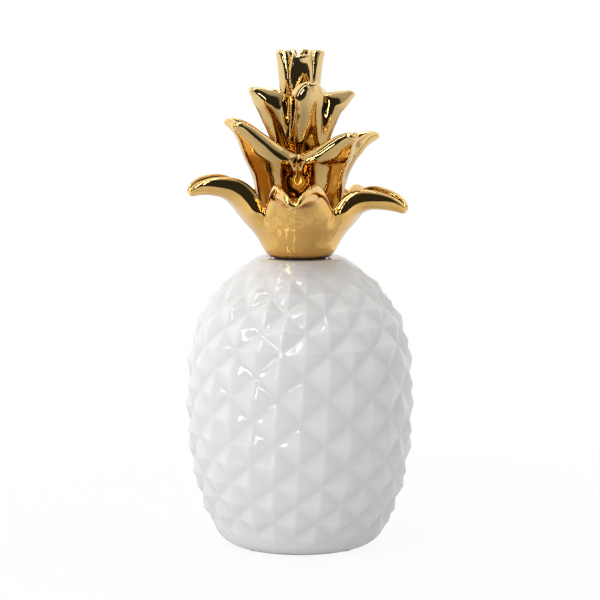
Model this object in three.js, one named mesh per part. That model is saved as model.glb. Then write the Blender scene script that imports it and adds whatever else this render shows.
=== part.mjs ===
// Ceramic pineapple ornament: a white hollow body with a diamond relief, four felt pads under its foot,
// and a lift-off golden crown built from four nested whorls of leaves.
// Millimetres, +Z up, the front faces -Y, and the origin is on the table under the body's axis.
import * as THREE from 'three';

// Driving dimensions of the body
const padThickness = 1;
const padRadius = 3.4;
const padCount = 4;
const seatHeight = 178.6;
const bellyHeight = 84;
const bellyRadius = 71;
const footRadius = 43;
const footRingWidth = 9;
const footRecess = 3;
const crestRise = 2.8;
const crestRadius = 20;
const wall = 5;
const mouthRadius = 16;
const mouthLipThickness = 7;
const baseThickness = 5;

// Diamond relief of the body
const diamondCount = 14;
const diamondHalfHeight = 14.4;
const topSqueeze = 0.05;
const footSqueeze = 0.33;
const rowsAboveCount = 7;
const rowsBelowCount = 6;
const reliefDepth = 3.2;
const firstRowAboveBelly = 2.8;
const reliefTopFade = 22;
const reliefFootStart = 2.5;
const reliefFootFade = 15;
const latticeTurnDegrees = 0.6;
const latticeLeanDegrees = 0.7;

// Fullness of the body's two halves: how far each curve swells before it turns in
const lowerSwell = 2;
const lowerTurn = 1.72;
const upperSwell = 3.4;
const upperTurn = 1.085;

// Fits between the pieces
const seatGap = 0.3;
const spigotClearance = 0.6;
const stubClearance = 0.3;

// Stopper under the crown
const spigotLength = 14;
const spigotWall = 3.6;
const collarLanding = 2.6;
const stubHeight = 4;
const degree = Math.PI / 180;

// The four whorls, from the collar to the tip. floorAbove is the height of a cup's floor above the floor of
// the whorl below, or above the seat. reach is the radius of the leaf tips and rise their height above the
// floor. Each row of a station table is one place along a leaf, from the cup to the tip: the keel's share of
// the way out, its share of the rise, the lean of the section in degrees, and shares of the gutter's depth,
// the half width and the wall. Each leaf has its turn about the axis in degrees, and shares by which its tip
// droops and falls short and by which it lies flatter. joinedStationCount is how many stations above the
// floor the leaves are still joined, up to the notch between them.
const lowerLeaves = {
  name: 'crown_lower_leaves',
  floorRadius: 33.5,
  floorAbove: 20.1,
  reach: 68.5,
  rise: 18,
  gutterDepth: 14,
  leafHalfWidth: 13.5,
  leafWall: 4.6,
  stubRadius: 12,
  leafTurns: [-3, 72, 144, 216, 288],
  leafDroopShares: [0.1, 0.52, 0.66, 0.66, -0.07],
  leafShorteningShares: [0.075, 0.08, 0.14, 0.14, 0],
  leafLayShares: [0, 0, 0, 0, 0],
  joinedStationCount: 1,
  stationShares: [
    [0, 0, 0, 0.4, 1.5, 1],
    [0.133, 0.36, 20, 0.75, 1.42, 1],
    [0.293, 0.69, 50, 0.95, 1.22, 1],
    [0.453, 0.905, 68, 0.92, 1.06, 1],
    [0.66, 1, 82, 0.76, 0.9, 0.98],
    [0.853, 1.015, 92, 0.56, 0.68, 0.92],
    [1, 0.97, 98, 0.34, 0.42, 0.85],
  ],
};
const middleLeaves = {
  name: 'crown_middle_leaves',
  cupClearance: 8.9,
  shoulderShares: [0.625, 0.52],
  floorRadius: 29,
  floorAbove: 27,
  reach: 57,
  rise: 33.5,
  gutterDepth: 12,
  leafHalfWidth: 11,
  leafWall: 4.4,
  stubRadius: 9,
  leafTurns: [37, 110, 178, 245, 317],
  leafDroopShares: [0.19, 0.3, 0.08, 0.06, 0],
  leafShorteningShares: [0.12, 0.22, 0.2, 0.24, 0],
  leafLayShares: [0.04, 0, 0, 0, 0.06],
  joinedStationCount: 2,
  stationShares: [
    [0, 0, 0, 0.5, 1.6, 1],
    [0.1, 0.17, 10, 0.8, 1.6, 1],
    [0.25, 0.36, 22, 1.08, 1.5, 1],
    [0.4, 0.56, 32, 0.92, 1.2, 1],
    [0.58, 0.77, 42, 0.7, 0.92, 1],
    [0.79, 0.91, 52, 0.54, 0.66, 0.95],
    [1, 1, 64, 0.32, 0.4, 0.85],
  ],
};
const upperLeaves = {
  name: 'crown_upper_leaves',
  cupClearance: 11.6,
  shoulderShares: [0.5, 0.5],
  floorRadius: 18,
  floorAbove: 24,
  reach: 36,
  rise: 31,
  gutterDepth: 10,
  leafHalfWidth: 9,
  leafWall: 3.8,
  stubRadius: 6,
  leafTurns: [15, 87, 159, 231, 303],
  leafDroopShares: [-0.07, 0.14, 0.12, 0.12, 0.05],
  leafShorteningShares: [0.42, 0.17, 0.1, 0.1, 0.03],
  leafLayShares: [0, 0, 0, 0, 0],
  joinedStationCount: 3,
  stationShares: [
    [0, 0, 0, 0.34, 1.3, 1],
    [0.14, 0.165, 10, 0.54, 1.3, 1],
    [0.305, 0.34, 25, 0.88, 1.3, 1],
    [0.5, 0.55, 42, 1.45, 1.28, 1],
    [0.695, 0.73, 48, 1.1, 1.06, 1],
    [0.86, 0.89, 54, 0.68, 0.72, 0.95],
    [1, 1, 60, 0.32, 0.42, 0.85],
  ],
};
const tipLeaves = {
  name: 'crown_tip_leaves',
  cupClearance: 5.2,
  shoulderShares: [0.6, 0.6],
  floorRadius: 10.6,
  floorAbove: 12,
  reach: 15.4,
  rise: 41.4,
  gutterDepth: 4.6,
  leafHalfWidth: 7,
  leafWall: 3.4,
  leafTurns: [4, 76, 148, 220, 292],
  leafDroopShares: [0.05, 0, 0, 0, 0],
  leafShorteningShares: [0, 0, 0, 0, 0],
  leafLayShares: [0, 0, 0, 0, 0],
  joinedStationCount: 2,
  stationShares: [
    [0, 0, 0, 0.44, 0.9, 1],
    [0.1, 0.14, 3, 0.6, 1, 1],
    [0.18, 0.28, 5, 0.8, 1.06, 1],
    [0.3, 0.48, 8, 0.94, 1.02, 1],
    [0.5, 0.7, 12, 1, 1, 1],
    [0.78, 0.9, 17, 1, 0.98, 0.92],
    [1, 1, 22, 0.86, 0.84, 0.7],
  ],
};
const sidesPerHalfLeaf = 4;
const stationsAlongLeaf = 10;
const edgeRoundingShare = 0.4;

// Section of a leaf: how square its U is, how far its walls lean in at the lips, and the share of the free
// leaf from which the U rounds off towards the tip
const wallFullness = 2.6;
const lipCurlShare = 0.14;
const roundingStartShare = 0.4;

// A closed surface built up from shared points and quads
class Surface {
  constructor() {
    this.positions = [];
    this.indices = [];
  }

  addPoint(x, y, z) {
    this.positions.push(x, y, z);
    return this.positions.length / 3 - 1;
  }

  pointAt(index) {
    return new THREE.Vector3().fromArray(this.positions, index * 3);
  }

  addTriangle(a, b, c) {
    this.indices.push(a, b, c);
  }

  addQuad(a, b, c, d) {
    this.addTriangle(a, b, c);
    this.addTriangle(a, c, d);
  }

  // A band between two rings of equally many points, which faces away from the axis when the second is higher
  addBand(lowerRing, upperRing) {
    const count = lowerRing.length;
    for (let i = 0; i < count; i += 1) {
      const next = (i + 1) % count;
      this.addQuad(lowerRing[i], lowerRing[next], upperRing[next], upperRing[i]);
    }
  }

  // A fan from a ring to its centre, seen from below when faceDown is set and from above when not
  addFan(ring, centre, faceDown) {
    for (let i = 0; i < ring.length; i += 1) {
      const next = (i + 1) % ring.length;
      if (faceDown) this.addTriangle(centre, ring[next], ring[i]);
      else this.addTriangle(centre, ring[i], ring[next]);
    }
  }

  toGeometry() {
    const geometry = new THREE.BufferGeometry();
    geometry.setAttribute('position', new THREE.Float32BufferAttribute(this.positions, 3));
    geometry.setIndex(this.indices);
    geometry.computeVertexNormals();
    return geometry;
  }
}

// Direction away from the axis at a turn: 0 faces the front, and the turn grows towards +X
function outward(turn) {
  return new THREE.Vector3(Math.sin(turn), -Math.cos(turn), 0);
}

function sideways(turn) {
  return new THREE.Vector3(Math.cos(turn), Math.sin(turn), 0);
}

// Radius of an egg-like body at a height: two swelling curves that meet at the belly
function eggRadius(egg, height) {
  const isUpper = height > egg.bellyHeight;
  const endHeight = isUpper ? egg.topHeight : egg.bottomHeight;
  const endRadius = isUpper ? egg.topRadius : egg.bottomRadius;
  const swell = isUpper ? upperSwell : lowerSwell;
  const turn = isUpper ? upperTurn : lowerTurn;
  const share = THREE.MathUtils.clamp((height - egg.bellyHeight) / (endHeight - egg.bellyHeight), 0, 1);
  return endRadius + (egg.bellyRadius - endRadius) * (1 - share ** swell) ** (1 / turn);
}

const outerEgg = {
  bellyHeight,
  bellyRadius,
  topHeight: seatHeight + crestRise,
  topRadius: crestRadius,
  bottomHeight: padThickness,
  bottomRadius: footRadius,
};
const cavityFloor = padThickness + footRecess + baseThickness;
const cavityTop = seatHeight - mouthLipThickness;
const cavityEgg = {
  bellyHeight,
  bellyRadius: bellyRadius - reliefDepth - wall,
  topHeight: cavityTop,
  topRadius: mouthRadius,
  bottomHeight: cavityFloor,
  bottomRadius: footRadius - footRingWidth,
};

// Height of a row of diamond corners; rows close up towards the shoulder and, more evenly, towards the foot
function rowHeight(row) {
  const closing = row > 0 ? -topSqueeze * row ** 3 : footSqueeze * row ** 2;
  return bellyHeight + firstRowAboveBelly + diamondHalfHeight * row + closing;
}

// Rows of diamond corners, from the foot to the shoulder
function diamondRows() {
  const rows = [];
  for (let row = -rowsBelowCount; row <= rowsAboveCount; row += 1) {
    rows.push({ height: rowHeight(row), row });
  }
  return rows;
}

// How much of the relief is left at a height: all of it at the belly, none at the foot and the crest
function reliefAt(height) {
  const fromTop = THREE.MathUtils.smoothstep(seatHeight - height, 0, reliefTopFade);
  const fromFoot = THREE.MathUtils.smoothstep(height - padThickness - reliefFootStart, 0, reliefFootFade);
  return reliefDepth * Math.min(fromTop, fromFoot);
}

// How far the ring of diamond corners in a row is turned; the columns of diamonds lean a little
function rowTurn(row) {
  return (latticeTurnDegrees + latticeLeanDegrees * row) * degree;
}

// A plain round ring of points, as many as the relief has half diamonds
function addBodyRing(surface, radius, height, ringTurn = 0) {
  const ring = [];
  for (let column = 0; column < diamondCount * 2; column += 1) {
    const direction = outward((column * Math.PI) / diamondCount + ringTurn);
    ring.push(surface.addPoint(direction.x * radius, direction.y * radius, height));
  }
  return ring;
}

// A ring of the relief: corners of diamonds lie in the grooves and the points between them stand proud
function addReliefRing(surface, { height, row }) {
  const ring = [];
  const peakRadius = eggRadius(outerEgg, height);
  for (let column = 0; column < diamondCount * 2; column += 1) {
    const inGroove = (column + Math.abs(row)) % 2 === 0;
    const radius = peakRadius - (inGroove ? reliefAt(height) : 0);
    const direction = outward((column * Math.PI) / diamondCount + rowTurn(row));
    ring.push(surface.addPoint(direction.x * radius, direction.y * radius, height));
  }
  return ring;
}

// A band of the relief whose quads are split along the grooves
function addReliefBand(surface, lower, upper, lowerRow) {
  const count = lower.length;
  for (let column = 0; column < count; column += 1) {
    const next = (column + 1) % count;
    const grooveStartsHere = (column + Math.abs(lowerRow)) % 2 === 0;
    if (grooveStartsHere) {
      surface.addQuad(lower[column], lower[next], upper[next], upper[column]);
    } else {
      surface.addQuad(lower[next], upper[next], upper[column], lower[column]);
    }
  }
}

function makeBodyShell() {
  const surface = new Surface();
  const rows = diamondRows();
  const reliefRings = rows.map((row) => addReliefRing(surface, row));

  // Outside, from the foot ring up to the seat and down into the mouth
  const footTurn = rowTurn(-rowsBelowCount);
  const footOuter = addBodyRing(surface, footRadius, padThickness, footTurn);
  const footRings = 3;
  let lower = footOuter;
  for (let i = 1; i < footRings; i += 1) {
    const height = THREE.MathUtils.lerp(padThickness, rows[0].height, (i / footRings) ** 2);
    const ring = addBodyRing(surface, eggRadius(outerEgg, height), height, footTurn);
    surface.addBand(lower, ring);
    lower = ring;
  }
  surface.addBand(lower, reliefRings[0]);
  for (let i = 1; i < rows.length; i += 1) {
    addReliefBand(surface, reliefRings[i - 1], reliefRings[i], rows[i - 1].row);
  }
  const lastRow = rows[rows.length - 1].height;
  const neckHeight = (lastRow + seatHeight) / 2;
  const neckTurn = rowTurn(rowsAboveCount);
  const neck = addBodyRing(surface, eggRadius(outerEgg, neckHeight), neckHeight, neckTurn);
  const seatEdge = addBodyRing(surface, eggRadius(outerEgg, seatHeight), seatHeight, neckTurn);
  const mouthTop = addBodyRing(surface, mouthRadius, seatHeight);
  surface.addBand(reliefRings[rows.length - 1], neck);
  surface.addBand(neck, seatEdge);
  surface.addBand(seatEdge, mouthTop);

  // Inside, from the mouth down to the cavity's floor
  let previous = mouthTop;
  const cavityRings = 9;
  const cavityDepth = cavityTop - cavityFloor;
  for (let i = 0; i <= cavityRings; i += 1) {
    const share = (1 - Math.cos((i * Math.PI) / cavityRings)) / 2;
    const height = cavityTop - cavityDepth * share;
    const ring = addBodyRing(surface, eggRadius(cavityEgg, height), height);
    surface.addBand(previous, ring);
    previous = ring;
  }
  surface.addFan(previous, surface.addPoint(0, 0, cavityFloor), false);

  // Underside: the flat foot ring and the recess inside it
  const footInner = addBodyRing(surface, footRadius - footRingWidth, padThickness, footTurn);
  const recess = addBodyRing(surface, footRadius - footRingWidth, padThickness + footRecess, footTurn);
  surface.addBand(footInner, footOuter);
  surface.addBand(recess, footInner);
  surface.addFan(recess, surface.addPoint(0, 0, padThickness + footRecess), true);
  return surface.toGeometry();
}

function makeFootPad() {
  const padSides = 24;
  const pad = new THREE.CylinderGeometry(padRadius, padRadius, padThickness, padSides);
  pad.rotateX(Math.PI / 2);
  return pad;
}

// A smooth value between the rows of a station table, by a Catmull-Rom curve through them
function stationAt(table, place) {
  const last = table.length - 1;
  const from = Math.min(Math.floor(place), last - 1);
  const t = place - from;
  const before = table[Math.max(from - 1, 0)];
  const here = table[from];
  const next = table[from + 1];
  const after = table[Math.min(from + 2, last)];
  return here.map((value, i) => {
    const slopeIn = (next[i] - before[i]) / 2;
    const slopeOut = (after[i] - value) / 2;
    const rest = next[i] - value;
    return value + t * (slopeIn + t * (3 * rest - 2 * slopeIn - slopeOut + t * (slopeIn + slopeOut - 2 * rest)));
  });
}

// One whorl: a round cup whose rim grows into gutter-shaped leaves, as one closed shell
function makeWhorl(whorl, floorHeight, undersideProfile, floorProfile) {
  const surface = new Surface();
  const leafCount = whorl.leafTurns.length;
  const halfSides = sidesPerHalfLeaf;
  const sides = halfSides * 2;
  const lastRow = whorl.stationShares.length - 1;
  const places = [];
  for (let i = 0; i <= stationsAlongLeaf; i += 1) {
    const isShared = i <= whorl.joinedStationCount;
    const beyond = (i - whorl.joinedStationCount) / (stationsAlongLeaf - whorl.joinedStationCount);
    places.push(isShared ? i : whorl.joinedStationCount + beyond * (lastRow - whorl.joinedStationCount));
  }

  // Half the angle to the neighbouring leaf, on the left or right of a leaf
  const turnOf = (leaf) => {
    const lap = Math.floor(leaf / leafCount);
    return (whorl.leafTurns[leaf - lap * leafCount] + lap * 360) * degree;
  };
  const halfAngle = (leaf, side) => Math.abs(turnOf(leaf + side) - turnOf(leaf)) / 2;

  // The keel and section of one leaf at one place along it
  function section(leaf, place) {
    const [outShare, riseShare, lean, depthShare, widthShare, wallShare] = stationAt(whorl.stationShares, place);
    const out = (whorl.reach - whorl.floorRadius) * (1 - whorl.leafShorteningShares[leaf]);
    const freeShare = Math.max(place - whorl.joinedStationCount, 0) / (lastRow - whorl.joinedStationCount);
    const droopShare = whorl.leafDroopShares[leaf] * freeShare * (2 - freeShare);
    const layShare = whorl.leafLayShares[leaf] * 4 * freeShare * (1 - freeShare);
    return {
      radius: whorl.floorRadius + out * (outShare + layShare),
      height: floorHeight + whorl.rise * (riseShare - droopShare - layShare),
      lean: lean * degree,
      depth: whorl.gutterDepth * depthShare,
      halfWidth: whorl.leafHalfWidth * widthShare,
      wall: whorl.leafWall * wallShare,
      freeShare,
    };
  }

  // Sideways distance and depth of a lip, measured from the keel
  function lipOf(leaf, place, side) {
    const here = section(leaf, place);
    const notch = section(leaf, whorl.joinedStationCount);
    const spread = Math.tan(halfAngle(leaf, side));
    const roundDepth = whorl.floorRadius * (1 - Math.cos(halfAngle(leaf, side)));
    const cupShare = Math.max(1 - place / whorl.joinedStationCount, 0) ** 2;
    const depth = here.depth + (roundDepth - section(leaf, 0).depth) * cupShare;
    const notchWidth = (notch.radius - notch.depth * Math.cos(notch.lean)) * spread;
    const easing = (notchWidth - notch.halfWidth) * (1 - here.freeShare) ** 4;
    const sharedWidth = (here.radius - depth * Math.cos(here.lean)) * spread;
    const width = place <= whorl.joinedStationCount ? sharedWidth : here.halfWidth + easing;
    return { width, depth };
  }

  // A section's outside at a share of the way from the keel to a lip. In the round cup it is part of a
  // circle, and along the leaf it is a U whose walls lean in at the lips.
  function outlineAt(leaf, place, side, share) {
    const { width, depth } = lipOf(leaf, place, side);
    const { freeShare } = section(leaf, place);
    const radius = (width ** 2 + depth ** 2) / (depth * 2);
    const angle = Math.atan2(depth, width) * 2 * share;
    const quarter = (Math.PI / 2) * share;
    const upright = 1 - Math.max(Math.cos(quarter), 0) ** (2 / wallFullness);
    const spread = Math.sin(quarter) ** (2 / wallFullness) / (1 - lipCurlShare);
    const curledAside = width * spread * (1 - lipCurlShare * upright ** 2);
    const cupToLeaf = THREE.MathUtils.smoothstep(place, 0, whorl.joinedStationCount);
    const blend = cupToLeaf * (1 - THREE.MathUtils.smoothstep(freeShare, roundingStartShare, 1));
    return {
      aside: THREE.MathUtils.lerp(radius * Math.sin(angle), curledAside, blend),
      inward: THREE.MathUtils.lerp(radius * (1 - Math.cos(angle)), depth * upright, blend),
    };
  }

  // Unit direction of a section's outside, towards the lip
  function directionAt(leaf, place, side, share) {
    const stepShare = 0.02;
    const start = outlineAt(leaf, place, side, Math.max(share - stepShare, 0));
    const end = outlineAt(leaf, place, side, Math.min(share + stepShare, 1));
    const length = Math.hypot(end.aside - start.aside, end.inward - start.inward);
    return { aside: (end.aside - start.aside) / length, inward: (end.inward - start.inward) / length };
  }

  // One point of a leaf: on its outside, or a wall's thickness inside it
  function leafPoint(leaf, place, across, inside) {
    const side = Math.sign(across) || 1;
    const share = Math.abs(across) / halfSides;
    const here = section(leaf, place);
    let { aside, inward } = outlineAt(leaf, place, side, share);
    if (inside) {
      const along = across === 0 ? { aside: 1, inward: 0 } : directionAt(leaf, place, side, share);
      aside -= here.wall * along.inward;
      inward += here.wall * along.aside;
    }
    const turn = turnOf(leaf);
    const point = outward(turn).multiplyScalar(here.radius - inward * Math.cos(here.lean));
    point.addScaledVector(sideways(turn), aside * side);
    point.z = here.height + inward * Math.sin(here.lean);
    const isShared = place <= whorl.joinedStationCount && Math.abs(across) === halfSides;
    if (isShared) {
      const middle = outward(turn + halfAngle(leaf, side) * side);
      const distance = point.x * middle.x + point.y * middle.y;
      point.x = middle.x * distance;
      point.y = middle.y * distance;
    }
    if (place === 0) point.z = here.height;
    return point;
  }

  // Rows of points on the outside and the inside; neighbours share their edges up to the notch
  function makeSkin(inside) {
    const skin = [];
    for (let leaf = 0; leaf < leafCount; leaf += 1) {
      skin.push(places.map((place, k) => {
        const row = [];
        const isShared = k <= whorl.joinedStationCount;
        for (let i = 0; i <= sides; i += 1) {
          if (isShared && i === 0 && leaf > 0) row.push(skin[leaf - 1][k][sides]);
          else if (isShared && i === sides && leaf === leafCount - 1) row.push(skin[0][k][0]);
          else row.push(surface.addPoint(...leafPoint(leaf, place, i - halfSides, inside)));
        }
        return row;
      }));
    }
    return skin;
  }
  const outside = makeSkin(false);
  const inside = makeSkin(true);

  // The rounded edge point between an outside and an inside point
  function addEdgePoint(outer, inner, direction) {
    const a = surface.pointAt(outer);
    const b = surface.pointAt(inner);
    const middle = a.clone().add(b).multiplyScalar(0.5);
    middle.addScaledVector(direction, a.distanceTo(b) * edgeRoundingShare);
    return surface.addPoint(...middle);
  }

  function lipDirection(leaf, place, side) {
    const { aside, inward } = directionAt(leaf, place, side, 1);
    const { lean } = section(leaf, place);
    const direction = outward(turnOf(leaf)).multiplyScalar(-Math.cos(lean) * inward);
    direction.addScaledVector(sideways(turnOf(leaf)), aside * side);
    direction.z = Math.sin(lean) * inward;
    return direction;
  }

  const up = new THREE.Vector3(0, 0, 1);
  const notchEdges = [];
  for (let leaf = 0; leaf < leafCount; leaf += 1) {
    const k = whorl.joinedStationCount;
    notchEdges.push(addEdgePoint(outside[leaf][k][sides], inside[leaf][k][sides], up));
  }

  for (let leaf = 0; leaf < leafCount; leaf += 1) {
    const outer = outside[leaf];
    const inner = inside[leaf];
    for (let k = 0; k < stationsAlongLeaf; k += 1) {
      for (let i = 0; i < sides; i += 1) {
        surface.addQuad(outer[k][i], outer[k][i + 1], outer[k + 1][i + 1], outer[k + 1][i]);
        surface.addQuad(inner[k][i], inner[k + 1][i], inner[k + 1][i + 1], inner[k][i + 1]);
      }
    }

    // The two lips of the free leaf, each as two narrow strips
    const edges = { left: [], right: [] };
    for (let k = whorl.joinedStationCount; k <= stationsAlongLeaf; k += 1) {
      if (k === whorl.joinedStationCount) {
        edges.left.push(notchEdges[(leaf + leafCount - 1) % leafCount]);
        edges.right.push(notchEdges[leaf]);
      } else {
        edges.left.push(addEdgePoint(outer[k][0], inner[k][0], lipDirection(leaf, places[k], -1)));
        edges.right.push(addEdgePoint(outer[k][sides], inner[k][sides], lipDirection(leaf, places[k], 1)));
      }
    }
    for (let j = 0; j < stationsAlongLeaf - whorl.joinedStationCount; j += 1) {
      const k = whorl.joinedStationCount + j;
      surface.addQuad(outer[k + 1][sides], outer[k][sides], edges.right[j], edges.right[j + 1]);
      surface.addQuad(edges.right[j + 1], edges.right[j], inner[k][sides], inner[k + 1][sides]);
      surface.addQuad(outer[k][0], outer[k + 1][0], edges.left[j + 1], edges.left[j]);
      surface.addQuad(edges.left[j], edges.left[j + 1], inner[k + 1][0], inner[k][0]);
    }

    // The blunt tip
    const { lean } = section(leaf, lastRow);
    const ahead = outward(turnOf(leaf)).multiplyScalar(Math.sin(lean));
    ahead.z = Math.cos(lean);
    const end = stationsAlongLeaf;
    const tipEdge = [edges.left[end - whorl.joinedStationCount]];
    for (let i = 1; i < sides; i += 1) {
      tipEdge.push(addEdgePoint(outer[end][i], inner[end][i], ahead));
    }
    tipEdge.push(edges.right[end - whorl.joinedStationCount]);
    for (let i = 0; i < sides; i += 1) {
      surface.addQuad(outer[end][i], outer[end][i + 1], tipEdge[i + 1], tipEdge[i]);
      surface.addQuad(tipEdge[i], tipEdge[i + 1], inner[end][i + 1], inner[end][i]);
    }
  }

  // Round rings that carry the outside down to the underside, and the inside in to the cup's floor
  const ringOf = (skin) => skin.flatMap((leaf) => leaf[0].slice(0, sides));
  const ringTurns = [];
  for (let leaf = 0; leaf < leafCount; leaf += 1) {
    for (let i = 0; i < sides; i += 1) {
      const side = i < halfSides ? -1 : 1;
      ringTurns.push(turnOf(leaf) + ((i - halfSides) / halfSides) * halfAngle(leaf, side));
    }
  }
  function addRing(radius, height) {
    return ringTurns.map((turn) => {
      const direction = outward(turn);
      return surface.addPoint(direction.x * radius, direction.y * radius, height);
    });
  }
  let upper = ringOf(outside);
  for (const [radius, height] of undersideProfile.rings) {
    const lower = addRing(radius, height);
    surface.addBand(lower, upper);
    upper = lower;
  }
  surface.addFan(upper, surface.addPoint(0, 0, undersideProfile.centreHeight), true);
  let around = ringOf(inside);
  for (const [radius, height] of floorProfile.rings) {
    const nearer = addRing(radius, height);
    surface.addBand(around, nearer);
    around = nearer;
  }
  surface.addFan(around, surface.addPoint(0, 0, floorProfile.centreHeight), false);
  return surface.toGeometry();
}

// A cup's floor, with the round stub that locates the next whorl when there is one
function floorOf(whorl, floorHeight) {
  if (!whorl.stubRadius) return { rings: [], centreHeight: floorHeight };
  const stubTop = floorHeight + stubHeight;
  return { rings: [[whorl.stubRadius, floorHeight], [whorl.stubRadius, stubTop]], centreHeight: stubTop };
}

// The collar under the lowest cup, and the hollow spigot that drops into the body's mouth
function collarProfile(whorl, floorHeight) {
  const bottom = seatHeight + seatGap;
  const height = floorHeight - bottom;
  const landingRadius = mouthRadius + collarLanding;
  const flare = whorl.floorRadius - landingRadius;
  const flareShares = [[0.76, 0.83], [0.57, 0.64], [0.4, 0.43], [0.2, 0.13]];
  const spigotRadius = mouthRadius - spigotClearance;
  const boreRadius = spigotRadius - spigotWall;
  const spigotBottom = bottom - spigotLength;
  const boreTop = floorHeight - whorl.leafWall;
  const rings = flareShares.map(([out, up]) => [landingRadius + flare * out, bottom + height * up]);
  rings.push([landingRadius, bottom]);
  rings.push([spigotRadius, bottom]);
  rings.push([spigotRadius, spigotBottom]);
  rings.push([boreRadius, spigotBottom]);
  rings.push([boreRadius, boreTop]);
  return { rings, centreHeight: boreTop };
}

// The hollow foot of an upper whorl, with the socket that takes the stub below
function footProfile(whorl, floorHeight, below, belowFloorHeight) {
  const bottom = belowFloorHeight + seatGap;
  const footRadiusInCup = below.floorRadius - below.leafWall - whorl.cupClearance;
  const [shoulderOut, shoulderUp] = whorl.shoulderShares;
  const socketRadius = below.stubRadius + stubClearance;
  const socketTop = floorHeight - whorl.leafWall;
  const shoulderRadius = footRadiusInCup + (whorl.floorRadius - footRadiusInCup) * shoulderOut;
  const rings = [
    [shoulderRadius, bottom + (floorHeight - bottom) * shoulderUp],
    [footRadiusInCup, bottom],
    [socketRadius, bottom],
    [socketRadius, socketTop],
  ];
  return { rings, centreHeight: socketTop };
}

// Finishes: one material for each piece
function whiteGlaze() {
  return new THREE.MeshStandardMaterial({ color: 0xf1f0ee, roughness: 0.16, metalness: 0 });
}

function goldGlaze() {
  return new THREE.MeshStandardMaterial({ color: 0xdeb05f, roughness: 0.1, metalness: 1 });
}

function greyFelt() {
  return new THREE.MeshStandardMaterial({ color: 0x8a8782, roughness: 0.95, metalness: 0 });
}

function addPiece(parent, name, geometry, material) {
  const mesh = new THREE.Mesh(geometry, material);
  mesh.name = name;
  parent.add(mesh);
  return mesh;
}

const pineapple = new THREE.Group();
addPiece(pineapple, 'body_shell', makeBodyShell(), whiteGlaze());

const padCircle = footRadius - footRingWidth / 2;
for (let i = 0; i < padCount; i += 1) {
  const direction = outward(((i + 0.5) * 2 * Math.PI) / padCount);
  const pad = addPiece(pineapple, `foot_pad_${i + 1}`, makeFootPad(), greyFelt());
  pad.position.set(direction.x * padCircle, direction.y * padCircle, padThickness / 2);
}

const crown = new THREE.Group();
pineapple.add(crown);
let below = null;
let belowFloor = seatHeight + seatGap;
for (const whorl of [lowerLeaves, middleLeaves, upperLeaves, tipLeaves]) {
  const floor = belowFloor + whorl.floorAbove;
  const underside = below ? footProfile(whorl, floor, below, belowFloor) : collarProfile(whorl, floor);
  addPiece(crown, whorl.name, makeWhorl(whorl, floor, underside, floorOf(whorl, floor)), goldGlaze());
  below = whorl;
  belowFloor = floor;
}

export default pineapple;
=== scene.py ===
"""Looks of a ceramic pineapple ornament: white diamond-relief body, golden leaf crown, felt pads."""

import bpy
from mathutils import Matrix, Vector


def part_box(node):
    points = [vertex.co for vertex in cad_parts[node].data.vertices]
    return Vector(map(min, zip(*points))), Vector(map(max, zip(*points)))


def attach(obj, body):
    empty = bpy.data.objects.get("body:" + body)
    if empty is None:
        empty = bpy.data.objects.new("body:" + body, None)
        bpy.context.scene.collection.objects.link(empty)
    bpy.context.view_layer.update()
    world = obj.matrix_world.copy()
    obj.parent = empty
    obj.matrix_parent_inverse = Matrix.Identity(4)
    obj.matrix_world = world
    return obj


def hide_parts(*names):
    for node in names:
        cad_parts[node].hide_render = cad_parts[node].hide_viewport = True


bl_info = {
    "name": "Ceramic Pineapple Ornament",
    "version": (1, 0, 0),
    "blender": (4, 5, 0),
    "location": "View3D > Sidebar > Pineapple",
    "description": "Builds a glazed pineapple ornament with a golden crown on its solid frame",
    "category": "Add Mesh",
}

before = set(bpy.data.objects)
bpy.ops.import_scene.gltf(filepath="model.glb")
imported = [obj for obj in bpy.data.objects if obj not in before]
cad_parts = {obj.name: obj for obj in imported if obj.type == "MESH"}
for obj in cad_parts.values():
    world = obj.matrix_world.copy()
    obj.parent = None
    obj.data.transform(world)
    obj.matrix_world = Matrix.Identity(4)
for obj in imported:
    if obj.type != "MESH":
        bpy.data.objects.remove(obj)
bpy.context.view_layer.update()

import math

import bpy
from bpy.props import FloatProperty, FloatVectorProperty, IntProperty, PointerProperty
from mathutils import Vector

BODY_LOW, BODY_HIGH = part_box("body_shell")
PAD_LOW, PAD_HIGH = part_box("foot_pad_1")
PAD_NAMES = sorted(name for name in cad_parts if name.startswith("foot_pad"))
MM = 0.001
FOOT_Z = BODY_LOW.z
SEAT_Z = BODY_HIGH.z
WHITE = (1.0, 1.0, 1.0, 1.0)
DARK_ROOM = 0.03


# Settings that a user would change

def metres(name, description, default):
    """A length in metres"""
    return FloatProperty(name=name, description=description, default=default, unit="LENGTH", precision=5)


def four_lengths(name, description, *millimetres):
    """A length for each whorl, given in millimetres"""
    default = [value * MM for value in millimetres]
    return FloatVectorProperty(name=name, description=description, default=default, size=4, unit="LENGTH")


def degrees(name, description, default):
    """An angle, with its default in degrees"""
    return FloatProperty(name=name, description=description, default=math.radians(default), subtype="ANGLE")


def factor(name, description, default):
    """A share from 0 to 1"""
    return FloatProperty(name=name, description=description, default=default, subtype="FACTOR")


def tint(name, description, *default):
    """A colour"""
    return FloatVectorProperty(name=name, description=description, default=default, size=3, subtype="COLOR")


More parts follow.
